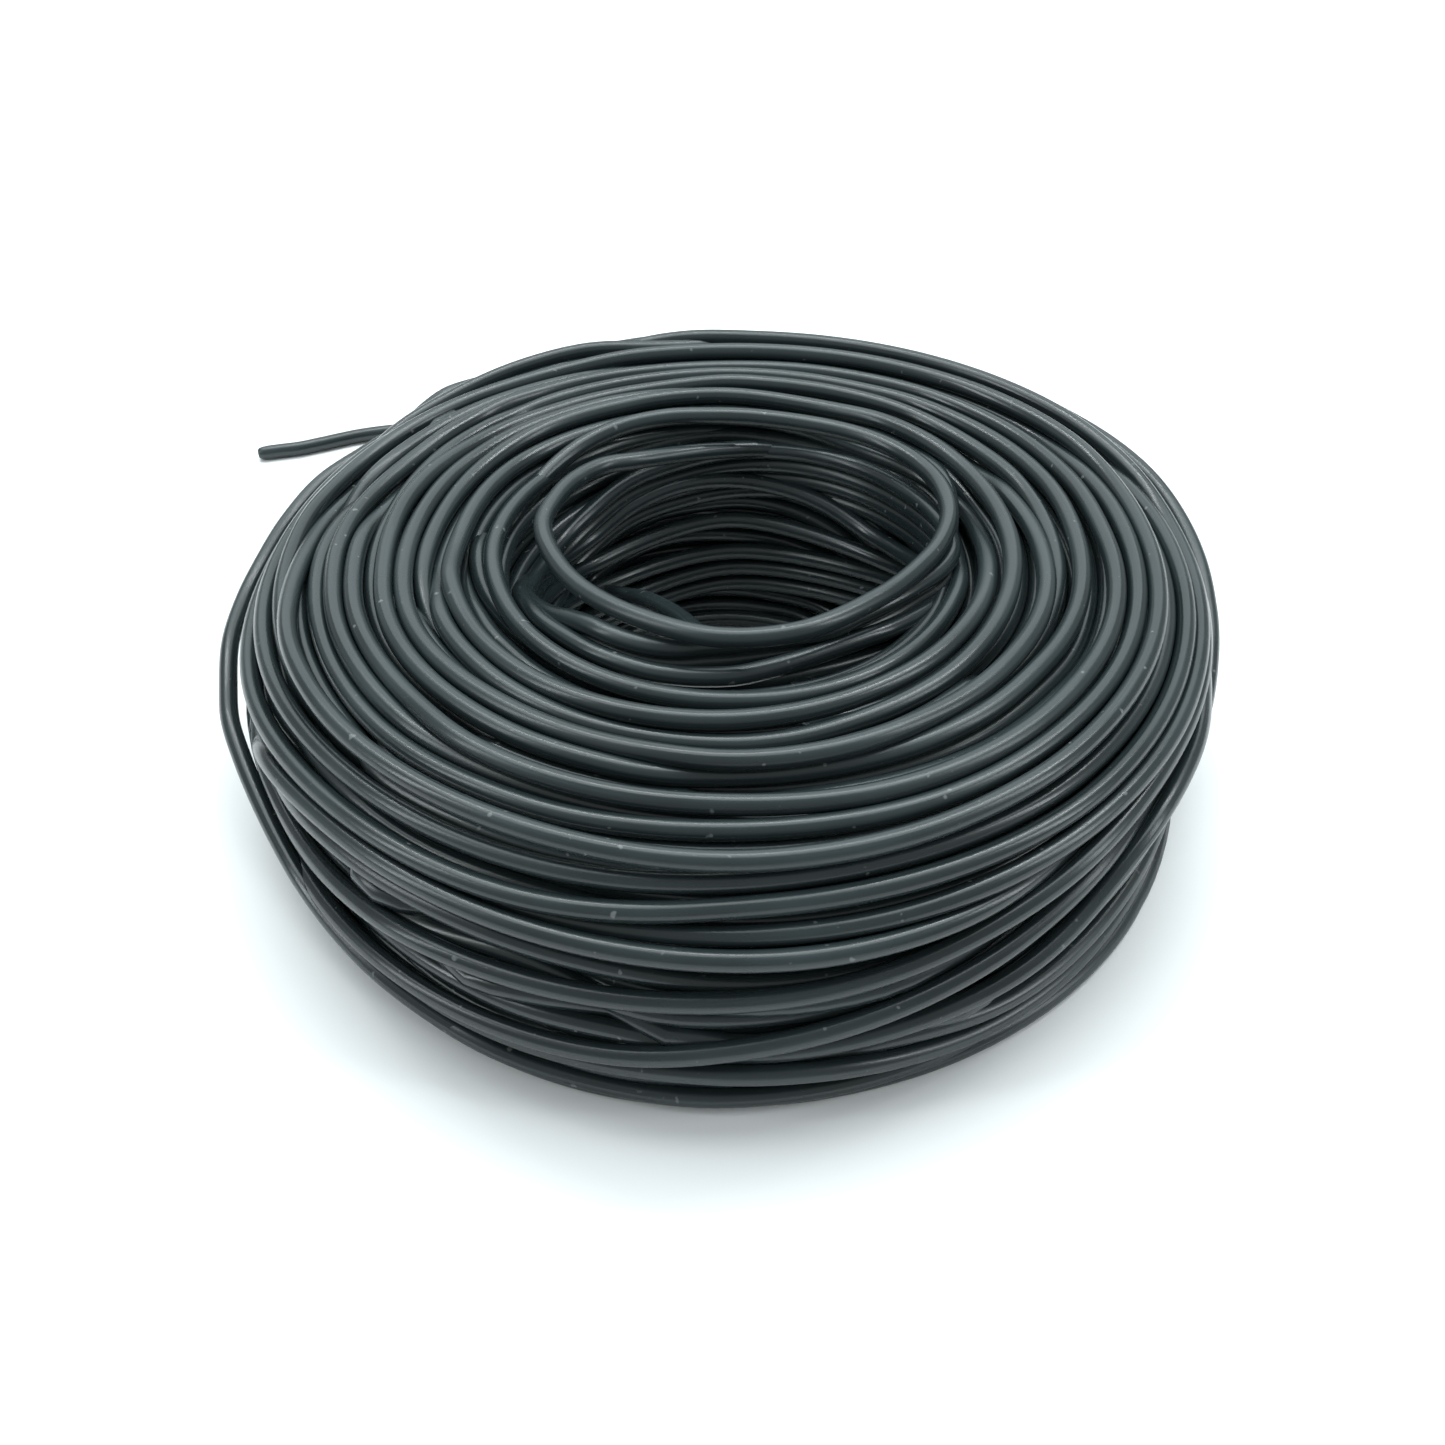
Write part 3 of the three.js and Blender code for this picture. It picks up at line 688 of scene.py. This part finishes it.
for sag in (1.0, 1.95, 2.9):
    LOOSE.append([(a_, r_ + 0.10 * sag * (1 if abs(a_ + 80) > 60 else -0.6), z_ - sag) for a_, r_, z_ in LOOSE[0]])
for route in LOOSE:
    loose.add(through(deg(route), 240, closed=True), True, sides=12)
loose.add(through([(-7.6, 9.4, 3.4), (-7.2, 7.4, 5.0), (-6.1, 4.9, 6.7), (-4.6, 2.5, 8.2), (-2.9, -0.6, 9.6), (-1.2, -4.4, 11.0), (1.2, -8.0, 12.0), (4.4, -9.9, 12.2), (7.6, -9.0, 11.9)], 110), False, sides=12)

# ------------------------------------------------------------------ loose outer turn
OUTER = deg([(-40, 23.6, 4.0), (-34, 24.2, 4.4), (-28, 24.7, 4.9), (-22, 25.05, 5.6), (-16, 25.45, 6.2), (-10, 25.95, 6.8), (-1, 26.65, 7.7), (5, 27.1, 8.3), (11, 27.55, 8.9), (18, 27.95, 9.5),
    (25, 28.15, 10.1), (32, 28.1, 10.5), (40, 28.0, 10.7), (50, 27.95, 10.9), (62, 27.95, 11.0), (77, 27.8, 11.1), (100, 27.7, 11.0), (114, 27.6, 10.7),
    (120, 27.75, 10.45), (124, 28.35, 10.15), (129, 28.9, 9.9), (133, 28.5, 9.7), (137, 28.0, 9.4), (143, 28.1, 9.1), (151, 28.5, 8.75), (159, 28.35, 8.2),
    (166, 28.1, 7.7), (172, 28.05, 7.2), (179, 27.85, 6.8), (186, 27.45, 6.2), (191, 27.2, 5.9), (196, 26.75, 5.4), (202, 26.3, 4.8), (208, 26.0, 4.2), (214, 25.85, 3.6), (221, 25.7, 2.8),
    (229, 25.6, 2.1), (238, 25.45, 1.4), (247, 25.4, 0.9), (257, 25.35, 0.6), (268, 25.25, 0.51), (280, 25.2, 0.51), (295, 25.15, 0.51), (310, 25.1, 0.51), (325, 25.0, 0.51), (338, 24.6, 0.51), (350, 23.8, 0.51)])
outer = Tubes()
outer.add(through(OUTER, 400), False, sides=14)

# ------------------------------------------------------------------ bottom turns
bottom = Tubes()
for k in range(12):
    r0 = 12.6 + 1.12 * k
    p = through(deg([(a, r0 + 0.12 * g.normal(), 0.52) for a in range(-180, 180, 30)]), 120, closed=True)
    bottom.add(p, True, sides=8)


# ------------------------------------------------------------------ the imported inside, as one dark body: painted shade, darker and duller than the jacket, standing for the shade deep in the gaps between turns
def core_body():
    s = np.linspace(0.3, 23.2, 40)
    r, z = np.interp(s, SP, PR[:, 0]), np.interp(s, SP, PR[:, 1])
    n_r, n_z = norm_at(s)
    r, z = r - 2.3 * n_r, z - 2.3 * n_z
    z = np.maximum(z, 1.2)
    z = np.maximum(z, 1.9)
    keep = r > 13.9
    pr = [(13.8, 1.2)] + [(13.8, 11.4)] + list(zip(r[keep], z[keep]))
    pr = np.array(pr)[::-1]
    n, m = len(pr), 96
    th = 2 * np.pi * np.arange(m) / m
    dd = 0.0
    verts = []
    for a_ in th:
        verts += [((q[0] * math.cos(a_) + AXIS[0]) * D, (q[0] * math.sin(a_) + AXIS[1]) * D, q[1] * D) for q in pr]
    faces = []
    for i in range(m):
        for j in range(n):
            faces.append((i * n + j, i * n + (j + 1) % n, ((i + 1) % m) * n + (j + 1) % n, ((i + 1) % m) * n + j))
    me = bpy.data.meshes.new("coil_inside")
    me.from_pydata(verts, [], faces)
    me.polygons.foreach_set("use_smooth", np.ones(len(faces), bool))
    lay = me.uv_layers.new(name="along")
    me.materials.append(CORE)
    me.update()
    ob = bpy.data.objects.new("coil_inside", me)
    scene.collection.objects.link(ob)
    return ob


pieces = [
    (free_end, "free_end"),
    (top.build("turns_top", WIRE), "wire_coil"),
    (wall.build("turns_wall", WIRE), "wire_coil"),
    (under.build("turns_under", WIRE), "wire_coil"),
    (bore.build("turns_bore", WIRE), "wire_coil"),
    (loose.build("turns_bore_edge", WIRE), "wire_coil"),
    (bottom.build("turns_bottom", WIRE), "wire_coil"),
    (core_body(), "wire_coil"),
    (inner.build("inner_loop", WIRE), "loose_inner_turn"),
    (outer.build("outer_loop", WIRE), "loose_outer_turn"),
]
for ob, node in pieces:
    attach(ob, "root")
    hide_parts(node)

# ------------------------------------------------------------------ floor and light
floor_me = bpy.data.meshes.new("floor")
floor_me.from_pydata([(-6, -6, 0), (6, -6, 0), (6, 6, 0), (-6, 6, 0)], [], [(0, 1, 2, 3)])
floor_mat = bpy.data.materials.new("floor_white")
floor_mat.use_nodes = True
fb = floor_mat.node_tree.nodes["Principled BSDF"]
fb.inputs["Base Color"].default_value = (0.93, 0.93, 0.93, 1)
fb.inputs["Roughness"].default_value = 0.9
fb.inputs["Specular IOR Level"].default_value = 0.1
floor_me.materials.append(floor_mat)
floor = bpy.data.objects.new("floor", floor_me)
scene.collection.objects.link(floor)

world = bpy.data.worlds.new("studio")
scene.world = world
world.use_nodes = True
bg = world.node_tree.nodes["Background"]
bg.inputs["Color"].default_value = (0.92, 0.98, 1.0, 1.0)
bg.inputs["Strength"].default_value = 0.46


def area(name, loc, target, size, power, colour=(1, 1, 1)):
    ld = bpy.data.lights.new(name, "AREA")
    ld.shape = "RECTANGLE"
    ld.size, ld.size_y = size
    ld.energy = power
    ld.color = colour
    ob = bpy.data.objects.new(name, ld)
    scene.collection.objects.link(ob)
    ob.location = loc
    d = np.array(target, float) - np.array(loc, float)
    d /= np.linalg.norm(d)
    ob.rotation_euler = (math.acos(max(-1, min(1, -d[2]))), 0, math.atan2(d[1], d[0]) - math.pi / 2)
    return ob


area("back_panel", (-0.1, 1.45, 1.25), (0, 0, 0.05), (2.8, 1.3), 18.0, (0.86, 0.98, 1.0))
area("top_strip", (0.0, 0.2, 1.45), (0, 0, 0.05), (2.2, 0.7), 17.0, (0.88, 0.98, 1.0))
area("key_strip", (0.1, 0.75, 1.7), (0, 0, 0.05), (2.4, 0.05), 20.0, (0.94, 0.99, 1.0))
area("left_strip", (-1.15, -0.35, 0.75), (0, 0, 0.05), (0.14, 0.9), 4.2, (0.90, 0.98, 1.0))
area("right_strip", (1.15, -0.35, 0.75), (0, 0, 0.05), (0.14, 0.9), 4.2, (0.90, 0.98, 1.0))

scene.view_settings.view_transform = "Standard"
scene.view_settings.look = "None"
